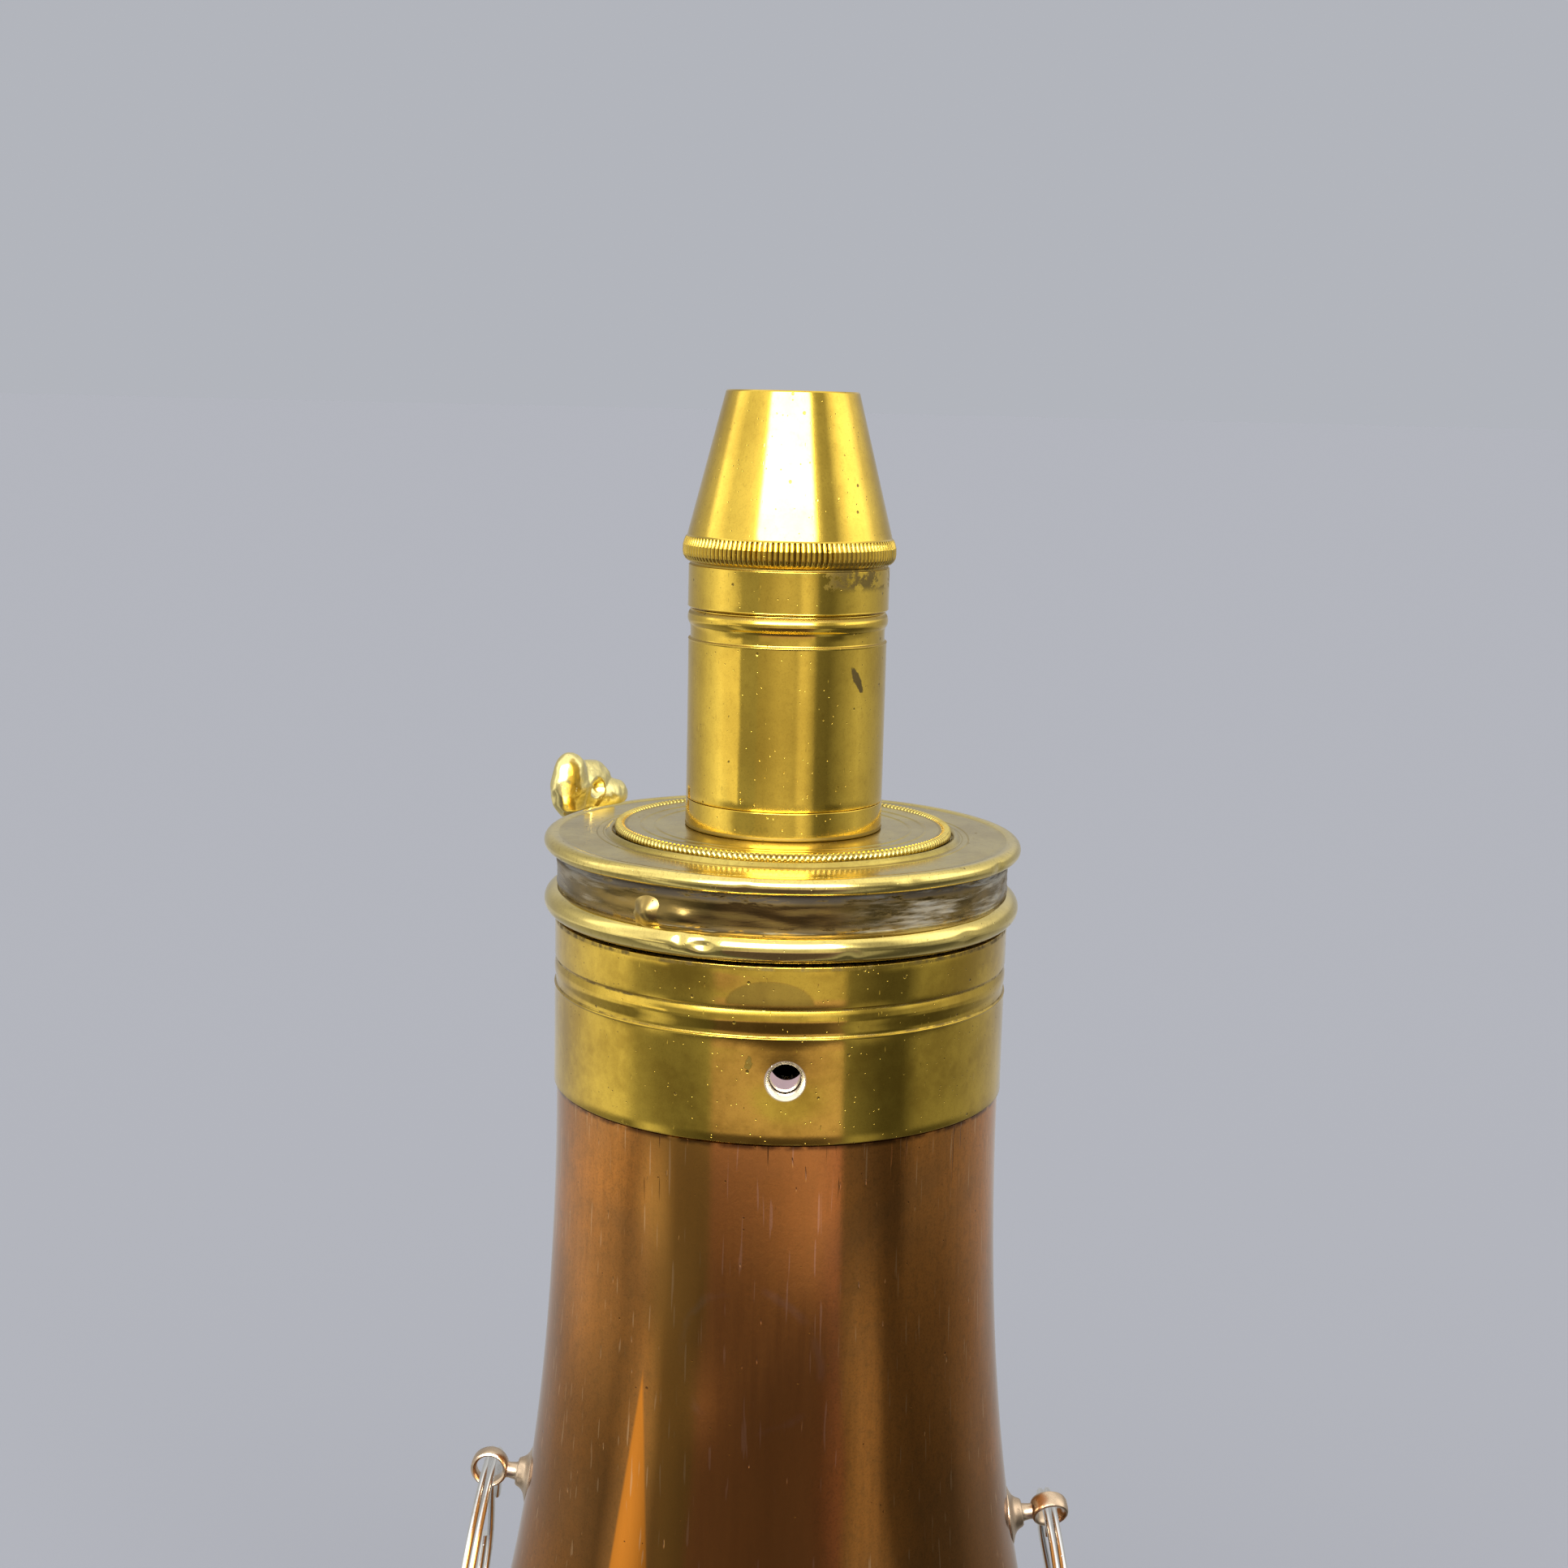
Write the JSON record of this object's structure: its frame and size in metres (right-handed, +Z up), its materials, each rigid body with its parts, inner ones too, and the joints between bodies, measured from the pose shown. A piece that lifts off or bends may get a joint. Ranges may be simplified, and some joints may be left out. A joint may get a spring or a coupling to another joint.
{
  "type": "powder flask",
  "caption": "Pear-shaped copper powder flask with a brass collar, a sprung cut-off lever, an adjustable conical nozzle and two hanging rings.",
  "frame": {"origin": "middle of the base plate's underside, on the flask's centre line", "axes": "+Z up along the nozzle, -Y the front with the empty screw hole, +X towards the right lug"},
  "size_m": [0.0806, 0.049, 0.1978],
  "materials": {
    "copper": "aged copper sheet, polished and lightly scratched",
    "aged_brass": "tarnished turned brass, satin with bright edges",
    "bright_brass": "polished turned brass",
    "steel": "plated steel wire and plain steel fittings"
  },
  "bodies": {
    "flask": {"base_plate": "copper", "body_front_shell": "copper", "body_back_shell": "copper", "collar": "aged_brass", "collar_screw_back_left": "aged_brass", "collar_screw_back_right": "aged_brass", "lower_plate": "aged_brass", "waist_ring": "aged_brass", "top_plate": "aged_brass", "milled_disc": "aged_brass", "nozzle_foot": "bright_brass", "nozzle_barrel": "bright_brass", "guide_pin": "steel", "pivot_screw": "steel", "return_spring": "steel", "spring_rivet": "aged_brass", "stop_pin": "aged_brass", "left_lug": "copper", "right_lug": "copper"},
    "cutoff": {"cutoff_gate": "aged_brass", "lever_arm": "aged_brass", "lever_rivet_1": "steel", "lever_rivet_2": "steel", "thumbpiece": "bright_brass"},
    "charge_tube": {"measuring_tube": "bright_brass"},
    "charge_cone": {"nozzle_cone": "bright_brass"},
    "left_eye": {"left_swivel_eye": "copper"},
    "right_eye": {"right_swivel_eye": "copper"},
    "left_ring": {"left_split_ring": "steel"},
    "right_ring": {"right_split_ring": "steel"}
  },
  "joints": [
    {"name": "cutoff_swing", "type": "hinge", "parent": "flask", "child": "cutoff", "pos_m": [0.01064, -0.00831, 0.157], "axis": [0, 0, -1], "range_deg": [0, 36], "stiffness_Nm_per_rad": 0.06, "springref_deg": -34.38, "deforming": ["return_spring"]},
    {"name": "charge_lift", "type": "slide", "parent": "flask", "child": "charge_tube", "axis": [0, 0, 1], "range_m": [0, 0.009]},
    {"name": "cone_turn", "type": "hinge", "parent": "charge_tube", "child": "charge_cone", "pos_m": [0, 0, 0.18], "axis": [0, 0, 1], "range_deg": [0, 90]},
    {"name": "left_eye_swivel", "type": "hinge", "parent": "flask", "child": "left_eye", "pos_m": [-0.02143, 0, 0.10304], "axis": [-0.989, 0, 0.1479], "range_deg": [-90, 90]},
    {"name": "right_eye_swivel", "type": "hinge", "parent": "flask", "child": "right_eye", "pos_m": [0.02187, 0, 0.10025], "axis": [0.9864, 0, 0.1644], "range_deg": [-90, 90]},
    {"name": "left_ring_swing", "type": "hinge", "parent": "left_eye", "child": "left_ring", "pos_m": [-0.02465, 0, 0.10353], "axis": [0, 1, 0], "range_deg": [0, 150]},
    {"name": "right_ring_swing", "type": "hinge", "parent": "right_eye", "child": "right_ring", "pos_m": [0.02508, 0, 0.10078], "axis": [0, -1, 0], "range_deg": [0, 150]}
  ]
}
